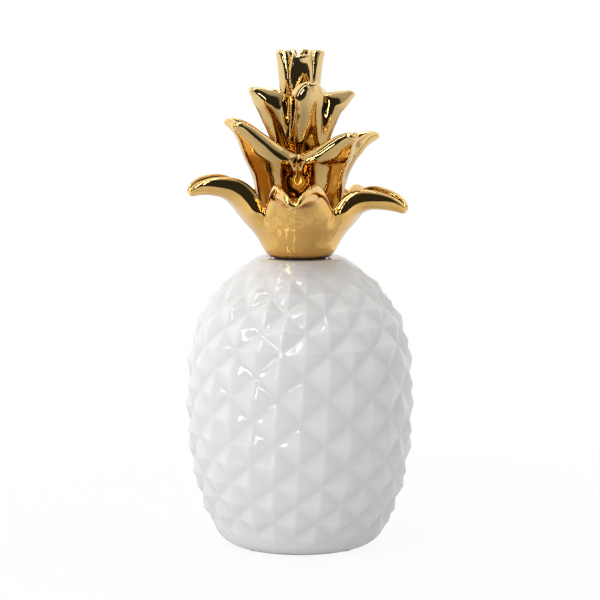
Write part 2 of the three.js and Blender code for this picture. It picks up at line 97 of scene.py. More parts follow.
class BodySettings(bpy.types.PropertyGroup):
    """Sizes and colours of the white body"""

    belly_radius: metres("Belly radius", "Widest radius of the body", 71 * MM)
    belly_height: metres("Belly height", "Height of the widest place", 84 * MM)
    foot_radius: metres("Foot radius", "Outer radius of the foot ring", 43 * MM)
    foot_ring_width: metres("Foot ring width", "Width of the unglazed ring", 9 * MM)
    foot_recess: metres("Foot recess", "Depth of the recess inside the foot ring", 3 * MM)
    base_thickness: metres("Base thickness", "Thickness of the body's floor", 5 * MM)
    wall: metres("Wall", "Thickness of the wall in a groove", 5 * MM)
    crest_rise: metres("Crest rise", "Height of the outline's end above the seat", 2.8 * MM)
    crest_radius: metres("Crest radius", "Radius of the outline's end", 20 * MM)
    mouth_radius: metres("Mouth radius", "Radius of the round mouth", 16 * MM)
    mouth_lip: metres("Mouth lip", "Thickness of the neck at the mouth", 7 * MM)
    relief_depth: metres("Relief depth", "Depth of the grooves between diamonds", 3.2 * MM)
    diamonds: IntProperty(name="Diamonds", description="Diamonds round the body", default=14, min=4)
    half_diamond: metres("Half diamond", "Half the height of a diamond at the belly", 14.4 * MM)
    top_squeeze: metres("Top squeeze", "How fast the rows close up above the belly", 0.05 * MM)
    foot_squeeze: metres("Foot squeeze", "How fast the rows close up below the belly", 0.33 * MM)
    lattice_turn: degrees("Lattice turn", "Turn of the diamonds at the belly", 0.6)
    lattice_lean: degrees("Lattice lean", "Turn of each row against the one below", 0.7)
    groove_softness: factor("Groove softness", "Rounding of the glazed grooves", 0.1)
    ridge_softness: factor("Ridge softness", "Rounding of the glazed ridges", 0.08)
    glaze: tint("Glaze", "Colour of the white glaze", 0.81, 0.81, 0.805)
    # Partly pooled glaze, partly painted shade in the grooves
    pooled_glaze: tint("Pooled glaze", "Colour where the glaze runs thick", 0.74, 0.745, 0.745)
    bisque: tint("Bisque", "Colour of the unglazed foot ring", 0.42, 0.33, 0.24)


class CrownSettings(bpy.types.PropertyGroup):
    """Sizes of the four whorls, each list from the lowest whorl to the tip, and the gold's colours"""

    reach: four_lengths("Reach", "Radius of the leaf tips", 68.5, 57, 36, 15.4)
    rise: four_lengths("Rise", "Height of the tips above the cup's floor", 18, 33.5, 31, 41)
    floor_radius: four_lengths("Floor radius", "Outer radius of the cup at its floor", 33.5, 29, 18, 10.6)
    floor_above: four_lengths("Floor above", "Height of the floor above the one below", 20.1, 27, 24, 12)
    gutter_depth: four_lengths("Gutter depth", "Depth of a leaf's gutter", 14, 12, 10, 4.6)
    half_width: four_lengths("Half width", "Half the width of a leaf", 13.5, 11, 9, 7)
    leaf_wall: four_lengths("Leaf wall", "Thickness of a leaf", 4.6, 4.4, 3.8, 3.4)
    stub_radius: four_lengths("Stub radius", "Radius of the stub on each floor", 12, 9, 6, 0)
    cup_clearance: four_lengths("Cup clearance", "Room round the foot in the cup below", 0, 8.9, 11.6, 5.2)
    # The plain gold low on the crown; towards the tips it pales into the next colour as a painted highlight
    warm_gold: tint("Warm gold", "Colour of the thick gold on the collar", 0.87, 0.535, 0.165)
    # Painted highlight: the gold pales to this colour towards the tips
    pale_gold: tint("Pale gold", "Colour of the thin gold on the tips", 0.87, 0.63, 0.29)
    # Painted shade: the gold darkens to this colour at the leaf roots and down in the cups
    deep_gold: tint("Deep gold", "Colour of the gold in creases", 0.5, 0.34, 0.13)
    # Partly the ragged end of the gold, partly painted shadow of the gap under the collar
    worn_rim: tint("Worn rim", "Colour of the collar's worn lower edge", 0.2, 0.11, 0.04)
    bare_clay: tint("Bare clay", "Colour of the unglazed spigot", 0.55, 0.45, 0.34)


class StudioSettings(bpy.types.PropertyGroup):
    """Camera, floor and the felt of the pads"""

    camera_distance: metres("Camera distance", "From the axis, on the level", 1.363)
    camera_height: metres("Camera height", "Above the surface", 0.352)
    camera_pitch: degrees("Camera pitch", "Downward tilt", 8.37)
    camera_lens: FloatProperty(name="Lens", description="Focal length", default=133.8, unit="CAMERA")
    felt: tint("Felt", "Colour of the felt pads", 0.3, 0.29, 0.27)
    floor: tint("Floor", "Colour of the studio floor", 0.86, 0.86, 0.86)
    sheet_front: metres("Sheet front", "Distance to the front edge of the white sheet", 0.45)


# Fits that follow the solid frame
SEAT_GAP = 0.3 * MM
SPIGOT_CLEARANCE = 0.6 * MM
STUB_CLEARANCE = 0.3 * MM
SPIGOT_LENGTH = 14 * MM
SPIGOT_WALL = 3.6 * MM
COLLAR_LANDING = 2.6 * MM
STUB_HEIGHT = 4 * MM

# Each row is one place along a leaf: the keel's share of the way out and of the rise, the lean of the
# section in degrees, and shares of the gutter's depth, the half width and the wall
LOWER_STATION_SHARES = (
    (0, 0, 0, 0.4, 1.5, 1),
    (0.133, 0.36, 20, 0.75, 1.42, 1),
    (0.293, 0.69, 50, 0.95, 1.22, 1),
    (0.453, 0.905, 68, 0.92, 1.06, 1),
    (0.66, 1, 82, 0.76, 0.9, 0.98),
    (0.853, 1.015, 92, 0.56, 0.68, 0.92),
    (1, 0.97, 98, 0.34, 0.42, 0.85),
)
MIDDLE_STATION_SHARES = (
    (0, 0, 0, 0.5, 1.6, 1),
    (0.1, 0.17, 10, 0.8, 1.6, 1),
    (0.25, 0.36, 22, 1.08, 1.5, 1),
    (0.4, 0.56, 32, 0.92, 1.2, 1),
    (0.58, 0.77, 42, 0.7, 0.92, 1),
    (0.79, 0.91, 52, 0.54, 0.66, 0.95),
    (1, 1, 64, 0.32, 0.4, 0.85),
)
UPPER_STATION_SHARES = (
    (0, 0, 0, 0.34, 1.3, 1),
    (0.14, 0.165, 10, 0.54, 1.3, 1),
    (0.305, 0.34, 25, 0.88, 1.3, 1),
    (0.5, 0.55, 42, 1.45, 1.28, 1),
    (0.695, 0.73, 48, 1.1, 1.06, 1),
    (0.86, 0.89, 54, 0.68, 0.72, 0.95),
    (1, 1, 60, 0.32, 0.42, 0.85),
)
TIP_STATION_SHARES = (
    (0, 0, 0, 0.44, 0.9, 1),
    (0.1, 0.14, 3, 0.6, 1, 1),
    (0.18, 0.28, 5, 0.8, 1.06, 1),
    (0.3, 0.48, 8, 0.94, 1.02, 1),
    (0.5, 0.7, 12, 1, 1, 1),
    (0.78, 0.9, 17, 1, 0.98, 0.92),
    (1, 1, 22, 0.86, 0.84, 0.7),
)

# The four whorls: node, leaf turns in degrees, the row of stations at the notch between two leaves, shares
# by which each leaf droops, falls short and lies flatter, and how far out and up the foot's shoulder is
WHORLS = (
    {"node": "crown_lower_leaves", "turns": (-3, 72, 144, 216, 288), "notch": 1,
     "droop_shares": (0.1, 0.52, 0.66, 0.66, -0.07), "short_shares": (0.075, 0.08, 0.14, 0.14, 0),
     "lay_shares": (0, 0, 0, 0, 0), "shoulder_shares": None,
     "stations": LOWER_STATION_SHARES},
    {"node": "crown_middle_leaves", "turns": (37, 110, 178, 245, 317), "notch": 2,
     "droop_shares": (0.19, 0.3, 0.08, 0.06, 0), "short_shares": (0.12, 0.22, 0.2, 0.24, 0),
     "lay_shares": (0.04, 0, 0, 0, 0.06), "shoulder_shares": (0.625, 0.52),
     "stations": MIDDLE_STATION_SHARES},
    {"node": "crown_upper_leaves", "turns": (15, 87, 159, 231, 303), "notch": 3,
     "droop_shares": (-0.07, 0.14, 0.12, 0.12, 0.05), "short_shares": (0.42, 0.17, 0.1, 0.1, 0.03),
     "lay_shares": (0, 0, 0, 0, 0), "shoulder_shares": (0.5, 0.5),
     "stations": UPPER_STATION_SHARES},
    {"node": "crown_tip_leaves", "turns": (4, 76, 148, 220, 292), "notch": 2,
     "droop_shares": (0.05, 0, 0, 0, 0), "short_shares": (0, 0, 0, 0, 0),
     "lay_shares": (0, 0, 0, 0, 0), "shoulder_shares": (0.6, 0.6),
     "stations": TIP_STATION_SHARES},
)


# Node trees as expressions

class Wire:
    """One output socket of a node; sums and products of wires add Math nodes to its tree"""

    def __init__(self, tree, socket):
        self.tree = tree
        self.socket = socket

    def math(self, operation, *values):
        return self.tree.wire("ShaderNodeMath", dict(enumerate(values)), operation=operation)

    def __add__(self, other):
        return self.math("ADD", self, other)

    __radd__ = __add__

    def __sub__(self, other):
        return self.math("SUBTRACT", self, other)

    def __rsub__(self, other):
        return self.math("SUBTRACT", other, self)

    def __mul__(self, other):
        return self.math("MULTIPLY", self, other)

    __rmul__ = __mul__

    def __truediv__(self, other):
        return self.math("DIVIDE", self, other)

    def __pow__(self, other):
        return self.math("POWER", self, other)

    def clamped(self):
        return self.math("MINIMUM", self.math("MAXIMUM", self, 0.0), 1.0)


class Tree:
    """Adds nodes to a shader or geometry tree and links them"""

    def __init__(self, tree):
        self.tree = tree

    def node(self, kind, inputs=None, **settings):
        """A node of a type, with its settings made first, then its sockets given values or links"""
        node = self.tree.nodes.new(kind)
        for name, value in settings.items():
            setattr(node, name, value)
        self.feed(node, inputs or {})
        return node

    def feed(self, node, inputs):
        """Gives a node's sockets their values or links"""
        for key, value in inputs.items():
            if isinstance(value, Wire):
                self.tree.links.new(value.socket, node.inputs[key])
            else:
                node.inputs[key].default_value = value

    def wire(self, kind, inputs=None, output=0, **settings):
        """One output of a new node"""
        return Wire(self, self.node(kind, inputs, **settings).outputs[output])

    def existing(self, kind):
        """The node of a type that a new tree starts with"""
        return next(node for node in self.tree.nodes if node.type == kind)

    def named(self, name):
        """A named value of the mesh, in a geometry tree"""
        return self.wire("GeometryNodeInputNamedAttribute", {"Name": name}, "Attribute", data_type="FLOAT")

    def attribute(self, name):
        """A named value of the mesh, in a shader tree"""
        return self.wire("ShaderNodeAttribute", {}, "Fac", attribute_name=name)

    def mix_colour(self, share, first, second):
        return self.wire("ShaderNodeMix", {0: share, 6: rgba(first), 7: rgba(second)}, 2, data_type="RGBA")

    def noise(self, scale, detail, roughness):
        inputs = {"Vector": self.object_place(), "Scale": scale, "Detail": detail, "Roughness": roughness}
        return self.wire("ShaderNodeTexNoise", inputs, "Fac")

    def object_place(self):
        return self.wire("ShaderNodeTexCoord", {}, "Object")

    def split(self, vector):
        """The three numbers of a vector"""
        return [Wire(self, output) for output in self.node("ShaderNodeSeparateXYZ", {0: vector}).outputs]

    def step_between(self, value, low, high):
        """0 below low, 1 above high, and smooth between"""
        inputs = {"Value": value, "From Min": low, "From Max": high}
        return self.wire("ShaderNodeMapRange", inputs, interpolation_type="SMOOTHSTEP")

    def bump(self, height, distance):
        return self.wire("ShaderNodeBump", {"Height": height, "Distance": distance})


def rgba(colour):
    """A colour with its alpha, or the wire that carries one"""
    return colour if isinstance(colour, Wire) else (*colour, 1.0)


def new_material(name):
    """A material, its tree and its principled shader"""
    material = bpy.data.materials.new(name)
    material.use_nodes = True
    tree = Tree(material.node_tree)
    return material, tree, tree.existing("BSDF_PRINCIPLED")


# Finishes

def white_glaze_material(settings):
    """Thick glossy white glaze that pools in the grooves, painted darker there partly as groove shade, and
    bare bisque on the foot ring
    """
    material, tree, shader = new_material("white_glaze")
    cloud = tree.noise(28.0, 3.0, 0.55)
    # The grooves are painted darker: partly thick pooled glaze, partly painted shade
    pooled_and_shaded = (tree.attribute("groove") * 0.75 + (cloud - 0.5) * 0.35).clamped()
    glaze = tree.mix_colour(pooled_and_shaded, settings.glaze, settings.pooled_glaze)
    grain = tree.noise(900.0, 4.0, 0.6)
    bisque = tree.mix_colour(grain, settings.bisque, [c * 0.86 for c in settings.bisque])
    height = tree.split(tree.object_place())[2]
    bare = 1.0 - tree.step_between(height, FOOT_Z + 1.0 * MM, FOOT_Z + 1.5 * MM)
    peel = tree.noise(90.0, 2.0, 0.4) + tree.noise(330.0, 1.0, 0.4) * 0.15
    tree.feed(shader, {
        "Base Color": tree.mix_colour(bare, glaze, bisque),
        "Roughness": bare * 0.7 + 0.02 + cloud * 0.03,
        "Normal": tree.bump(peel + grain * bare * 0.25, 0.22 * MM),
        "IOR": 1.52,
    })
    return material


def gold_material(settings):
    """Mirror-bright fired gold with a faint ripple, paler towards the tips as a painted highlight and darker
    down in the cups and at the leaf roots as painted shade

    Along the collar's lower edge it turns dark brown, partly the ragged end of the gold and partly painted
    shadow of the gap where it sits on the body, and the spigot below the seat is bare clay.
    """
    material, tree, shader = new_material("gold_lustre")
    height = tree.split(tree.object_place())[2]
    # Painted highlight: the gold pales with height towards the tips
    highlit = tree.step_between(height, SEAT_Z + 20 * MM, SEAT_Z + 115 * MM)
    plain = tree.mix_colour(highlit, settings.warm_gold, settings.pale_gold)
    cloud = tree.noise(60.0, 3.0, 0.5)
    # Painted shade: darker gold at the leaf roots and in the cups, made a little uneven by noise
    shade_share = (tree.attribute("crease_shade") * 0.8 + (cloud - 0.5) * 0.2).clamped()
    bright = tree.mix_colour(shade_share, plain, settings.deep_gold)
    speckle = (tree.noise(700.0, 3.0, 0.6) - 0.5) * 2.4 * MM
    # The collar's lowest millimetres: ragged gold edge and painted shadow of the seat gap
    darkened = 1.0 - tree.step_between(height + speckle, SEAT_Z + 1.2 * MM, SEAT_Z + 3.0 * MM)
    gilded = tree.mix_colour(darkened, bright, settings.worn_rim)
    bare = 1.0 - tree.step_between(height, SEAT_Z - 0.3 * MM, SEAT_Z)
    smudge = tree.noise(240.0, 4.0, 0.65)
    ripple = tree.noise(110.0, 1.0, 0.4) + tree.noise(300.0, 1.0, 0.5) * 0.04
    pits = tree.step_between(tree.noise(900.0, 1.0, 0.5), 0.7, 0.76) * 0.03
    tree.feed(shader, {
        "Base Color": tree.mix_colour(bare, gilded, settings.bare_clay),
        "Metallic": 1.0 - bare,
        "Roughness": smudge * 0.06 + bare * 0.7 + 0.02,
        "Normal": tree.bump(ripple - pits, 0.22 * MM),
    })
    return material


def felt_material(settings):
    """Dense grey felt"""
    material, tree, shader = new_material("felt")
    fibres = tree.noise(1400.0, 5.0, 0.7)
    dark = [c * 0.6 for c in settings.felt]
    tree.feed(shader, {
        "Base Color": tree.mix_colour(fibres, dark, settings.felt),
        "Normal": tree.bump(fibres, 0.3 * MM),
        "Roughness": 0.95,
    })
    return material


def floor_material(settings):
    """A pale studio floor that looks white to the camera and in mirrors but keeps the shadow

    Mirrors see the white sheet a little darker near the ornament, and see it end some way in front, where
    the dark room begins.
    """
    material, tree, shader = new_material("studio_floor")
    tree.feed(shader, {"Base Color": rgba(settings.floor), "Roughness": 0.7})
    camera = tree.wire("ShaderNodeLightPath", {}, "Is Camera Ray")
    glossy = tree.wire("ShaderNodeLightPath", {}, "Is Glossy Ray")
    x, y, _ = tree.split(tree.object_place())
    front = y * -0.97 + x * -0.24
    past_edge = glossy * tree.step_between(front, settings.sheet_front, settings.sheet_front + 0.08)
    shaded = glossy * (tree.step_between(x, -0.4, -0.02) * 0.4 - tree.step_between(x, 0.02, 0.3) * 0.3)
    unlit = (past_edge + shaded).clamped()
    white = tree.wire("ShaderNodeEmission", {"Color": WHITE, "Strength": 1.0})
    dark = tree.wire("ShaderNodeEmission", {"Color": WHITE, "Strength": DARK_ROOM})
    glow = tree.wire("ShaderNodeMixShader", {0: unlit, 1: white, 2: dark})
    far = tree.step_between(x.math("SQRT", x * x + y * y), 0.12, 0.4)
    glowing = (camera * (0.93 + far * 0.07) + glossy).clamped()
    plain = Wire(tree, shader.outputs[0])
    mixed = tree.wire("ShaderNodeMixShader", {0: glowing, 1: plain, 2: glow})
    tree.feed(tree.existing("OUTPUT_MATERIAL"), {"Surface": mixed})
    return material


# Mesh making

def new_object(name, data):
    """An object of the scene, at the origin and unturned"""
    made = bpy.data.objects.new(name, data)
    bpy.context.scene.collection.objects.link(made)
    return made


class Shell:
    """A closed surface built from shared points, with named values stored on each point"""

    def __init__(self, *value_names):
        self.points = []
        self.faces = []
        self.values = {name: [] for name in value_names}

    def add(self, point, *values):
        self.points.append(Vector(point))
        for stored, value in zip(self.values.values(), values, strict=True):
            stored.append(value)
        return len(self.points) - 1

    def face(self, *corners):
        self.faces.append(corners)

    def band(self, lower, upper):
        """Quads between two rings of equally many points, facing away from the axis when upper is higher"""
        for i in range(len(lower)):
            after = (i + 1) % len(lower)
            self.face(lower[i], lower[after], upper[after], upper[i])

    def fan(self, ring, centre, face_down):
        """Triangles from a ring to its centre"""
        for here, after in zip(ring, ring[1:] + ring[:1]):
            if face_down:
                self.face(centre, after, here)
            else:
                self.face(centre, here, after)

    def to_object(self, name):
        mesh = bpy.data.meshes.new(name)
        mesh.from_pydata(self.points, [], self.faces)
        for value_name, values in self.values.items():
            mesh.attributes.new(value_name, "FLOAT", "POINT").data.foreach_set("value", values)
        mesh.shade_smooth()
        return new_object(name, mesh)


def outward(turn):
    """Direction away from the axis: 0 faces the front, and the turn grows towards +X"""
    return Vector((math.sin(turn), -math.cos(turn), 0.0))


def sideways(turn):
    return Vector((math.cos(turn), math.sin(turn), 0.0))


def smooth_share(value, low, high):
    share = min(max((value - low) / (high - low), 0.0), 1.0)
    return share * share * (3.0 - 2.0 * share)


SOCKET_KINDS = {"int": "NodeSocketInt", "float": "NodeSocketFloat", "Material": "NodeSocketMaterial"}


def grow(made, label, add_nodes, values):
    """Runs an object through a geometry tree and makes the result its plain mesh

    The values become the tree's named inputs. add_nodes gets the tree and those inputs, and returns the
    geometry that the tree makes real and gives its material.
    """
    group = bpy.data.node_groups.new(label, "GeometryNodeTree")
    group.interface.new_socket("Geometry", in_out="OUTPUT", socket_type="NodeSocketGeometry")
    group.interface.new_socket("Geometry", in_out="INPUT", socket_type="NodeSocketGeometry")
    identifiers = {}
    for name, value in values.items():
        kind = SOCKET_KINDS[type(value).__name__]
        identifiers[name] = group.interface.new_socket(name, in_out="INPUT", socket_type=kind).identifier
    tree = Tree(group)
    entry = tree.node("NodeGroupInput")
    given = {output.name: Wire(tree, output) for output in entry.outputs if output.name}
    real = tree.wire("GeometryNodeRealizeInstances", {0: add_nodes(tree, given)})
    dressed = tree.wire("GeometryNodeSetMaterial", {"Geometry": real, "Material": given["Material"]})
    tree.node("NodeGroupOutput", {0: dressed})

    modifier = made.modifiers.new(label, "NODES")
    modifier.node_group = group
    for name, value in values.items():
        modifier[identifiers[name]] = value
    evaluated = made.evaluated_get(bpy.context.evaluated_depsgraph_get())
    mesh = bpy.data.meshes.new_from_object(evaluated)
    made.modifiers.clear()
    made.data = mesh
    mesh.name = made.name


# The white body

# The two exponents of the outline's curve, below and above the belly
LOWER_CURVE = (2.0, 1.72)
UPPER_CURVE = (3.4, 1.085)

# The lattice: its rows are counted from the belly, and its offset keeps the places along it above zero
FIRST_ROW_ABOVE_BELLY = 2.8 * MM
LAST_ROW_BELOW = -7
FIRST_ROW_OUTSIDE = 9
LATTICE_OFFSET = 64.0
RELIEF_TOP_FADE = 22 * MM
RELIEF_FOOT_START = 3.5 * MM
RELIEF_FOOT_FADE = 15 * MM

# The mesh: its fineness, the steps that find a row, and the rounding of its edges
COLUMNS_PER_HALF_DIAMOND = 12
ROWS_PER_HALF_DIAMOND = 11
CAVITY_RINGS = 36
HALVINGS = 40
EDGE_ROUNDING = 0.8 * MM
SHOULDER_EDGE = 1.2 * MM


def egg_radius(egg, height):
    """Radius of an egg-like body at a height: two swelling curves that meet at the belly"""
    upper = height > egg["belly_height"]
    end_height, end_radius = egg["top"] if upper else egg["bottom"]
    swell, turn = UPPER_CURVE if upper else LOWER_CURVE
    share = (height - egg["belly_height"]) / (end_height - egg["belly_height"])
    share = min(max(share, 0.0), 1.0)
    return end_radius + (egg["belly_radius"] - end_radius) * (1.0 - share ** swell) ** (1.0 / turn)


def body_eggs(settings):
    """The body's outer outline and the outline of its cavity"""
    outer = {
        "belly_height": settings.belly_height,
        "belly_radius": settings.belly_radius,
        "top": (SEAT_Z + settings.crest_rise, settings.crest_radius),
        "bottom": (FOOT_Z, settings.foot_radius),
    }
    cavity_floor = FOOT_Z + settings.foot_recess + settings.base_thickness
    inner = {
        "belly_height": settings.belly_height,
        "belly_radius": settings.belly_radius - settings.relief_depth - settings.wall,
        "top": (SEAT_Z - settings.mouth_lip, settings.mouth_radius),
        "bottom": (cavity_floor, settings.foot_radius - settings.foot_ring_width),
    }
    return outer, inner


def row_height(settings, row):
    """Height of a row of diamond corners; rows close up towards the shoulder and, more evenly, the foot"""
    closing = -settings.top_squeeze * row ** 3 if row > 0 else settings.foot_squeeze * row ** 2
    return settings.belly_height + FIRST_ROW_ABOVE_BELLY + settings.half_diamond * row + closing


def row_at(settings, height):
    """The row number at a height, found by halving"""
    low, high = float(LAST_ROW_BELOW - 1), float(FIRST_ROW_OUTSIDE)
    for _ in range(HALVINGS):
        middle = (low + high) / 2.0
        if row_height(settings, middle) < height:
            low = middle
        else:
            high = middle
    return low


def diamond_relief(tree, given):
    """Geometry nodes: a lattice of soft pyramids, pressed into a surface along its normals"""
    column = tree.named("turn_share") * given["Diamonds"]
    half_row = tree.named("diamond_row") * 0.5
    groove_soft = given["Groove Softness"]

    def slope_beside_groove(place):
        """0 in a groove and 1 midway to the next, with a rounded bottom"""
        away = place.math("PINGPONG", place, 0.5) * 2.0
        rounded = away.math("SQRT", away * away + groove_soft * groove_soft) - groove_soft
        return rounded / (away.math("SQRT", groove_soft * groove_soft + 1.0) - groove_soft)

    first = slope_beside_groove(column + half_row + LATTICE_OFFSET)
    second = slope_beside_groove(column - half_row + LATTICE_OFFSET)
    pyramid = first.math("SMOOTH_MIN", first, second, given["Ridge Softness"])
    share = tree.named("relief_share")
    groove = (1.0 - pyramid).clamped() ** 2.5 * share
    # The groove share is kept for the glaze, which paints the grooves darker as shade
    kept = tree.wire("GeometryNodeStoreNamedAttribute",
                     {"Geometry": given["Geometry"], "Name": "groove", "Value": groove},
                     data_type="FLOAT", domain="POINT")
    depth = (pyramid - 1.0) * given["Relief Depth"] * share
    normal = tree.wire("GeometryNodeInputNormal")
    offset = tree.wire("ShaderNodeVectorMath", {0: normal, "Scale": depth}, operation="SCALE")
    return tree.wire("GeometryNodeSetPosition", {"Geometry": kept, "Offset": offset})


def body_profile(settings):
    """The shell's section as (radius, height, relief), from under the foot to the cavity's floor

    It goes up the outside, over the seat and in through the mouth. Only the outside names its relief.
    """
    outer, inner = body_eggs(settings)
    recess, edge, mouth = FOOT_Z + settings.foot_recess, EDGE_ROUNDING, settings.mouth_radius
    foot_inner = settings.foot_radius - settings.foot_ring_width
    profile = [(foot_inner * share, recess) for share in (0.04, 0.5, 0.9, 0.97)]
    profile += [(foot_inner, recess - edge), (foot_inner, FOOT_Z + edge)]
    profile += [(foot_inner + edge * 0.3, FOOT_Z + edge * 0.3), (foot_inner + edge, FOOT_Z)]
    profile += [(settings.foot_radius - edge, FOOT_Z)]

    first_height = row_height(settings, LAST_ROW_BELOW)
    heights = [FOOT_Z + (first_height - FOOT_Z) * i / 4 for i in (1, 2, 3)]
    steps = (FIRST_ROW_OUTSIDE - LAST_ROW_BELOW) * ROWS_PER_HALF_DIAMOND
    heights += [row_height(settings, LAST_ROW_BELOW + i / ROWS_PER_HALF_DIAMOND) for i in range(steps)]
    for height in heights:
        if height < SEAT_Z - SHOULDER_EDGE:
            relief = min(smooth_share(SEAT_Z - height, 0.0, RELIEF_TOP_FADE),
                         smooth_share(height - RELIEF_FOOT_START, 0.0, RELIEF_FOOT_FADE))
            profile.append((egg_radius(outer, height), height, relief))

    seat_edge = egg_radius(outer, SEAT_Z)
    profile += [(seat_edge - 0.4 * MM, SEAT_Z - 0.2 * MM), (seat_edge - 1.6 * MM, SEAT_Z)]
    profile += [(mouth + edge, SEAT_Z), (mouth + edge * 0.3, SEAT_Z - edge * 0.3), (mouth, SEAT_Z - edge)]
    cavity_top, cavity_floor = inner["top"][0], inner["bottom"][0]
    for i in range(CAVITY_RINGS + 1):
        share = (1.0 - math.cos(math.pi * i / CAVITY_RINGS)) / 2.0
        height = cavity_top + (cavity_floor - cavity_top) * share
        profile.append((egg_radius(inner, height), height))
    profile += [(inner["bottom"][1] * share, cavity_floor) for share in (0.9, 0.5, 0.04)]
    return profile


def make_body(settings):
    """The smooth shell with its mouth, cavity and foot, before its outside takes the relief"""
    shell = Shell("diamond_row", "turn_share", "relief_share")
    columns = settings.diamonds * 2 * COLUMNS_PER_HALF_DIAMOND

    def ring(radius, height, relief=0.0):
        row = row_at(settings, height)
        turn = settings.lattice_turn + settings.lattice_lean * row
        made = []
        for i in range(columns):
            share = i / columns
            direction = outward(2.0 * math.pi * share + turn)
            point = (direction.x * radius, direction.y * radius, height)
            made.append(shell.add(point, row, share, relief))
        return made

    profile = body_profile(settings)
    rings = [ring(*step) for step in profile]
    for lower, upper in zip(rings, rings[1:]):
        shell.band(lower, upper)
    for end, face_down in ((0, True), (-1, False)):
        centre = shell.add((0.0, 0.0, profile[end][1]), 0.0, 0.0, 0.0)
        shell.fan(rings[end], centre, face_down)
    return shell.to_object("body_shell_glazed")


class PINEAPPLE_OT_body(bpy.types.Operator):
    """Make the glazed white body with its diamond relief"""

    bl_idname = "pineapple.body"
    bl_label = "Make Body"

    def execute(self, context):
        settings = context.scene.pineapple_body
        body = make_body(settings)
        grow(body, "Diamond relief", diamond_relief, {
            "Diamonds": float(settings.diamonds),
            "Relief Depth": settings.relief_depth,
            "Groove Softness": settings.groove_softness,
            "Ridge Softness": settings.ridge_softness,
            "Material": white_glaze_material(settings),
        })
        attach(body, "jar")
        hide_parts("body_shell")
        return {"FINISHED"}


# The golden crown

WALL_FULLNESS = 2.6
LIP_CURL_SHARE = 0.14
SIDES_PER_HALF_LEAF = 5
SIDES_PER_LEAF = SIDES_PER_HALF_LEAF * 2
STATIONS_ALONG_LEAF = 13
EDGE_STEPS = 3


def station_at(table, place):
    """A row between the rows of a station table, on a smooth curve that passes through them"""
    last = len(table) - 1
    start = min(int(place), last - 1)
    t = place - start
    before, here = table[max(start - 1, 0)], table[start]
    after, beyond = table[start + 1], table[min(start + 2, last)]
    row = []
    for a, b, c, d in zip(before, here, after, beyond):
        slope_in, slope_out, rest = (c - a) / 2.0, (d - b) / 2.0, c - b
        row.append(b + t * (slope_in + t * (3 * rest - 2 * slope_in - slope_out
                                            + t * (slope_in + slope_out - 2 * rest))))
    return row


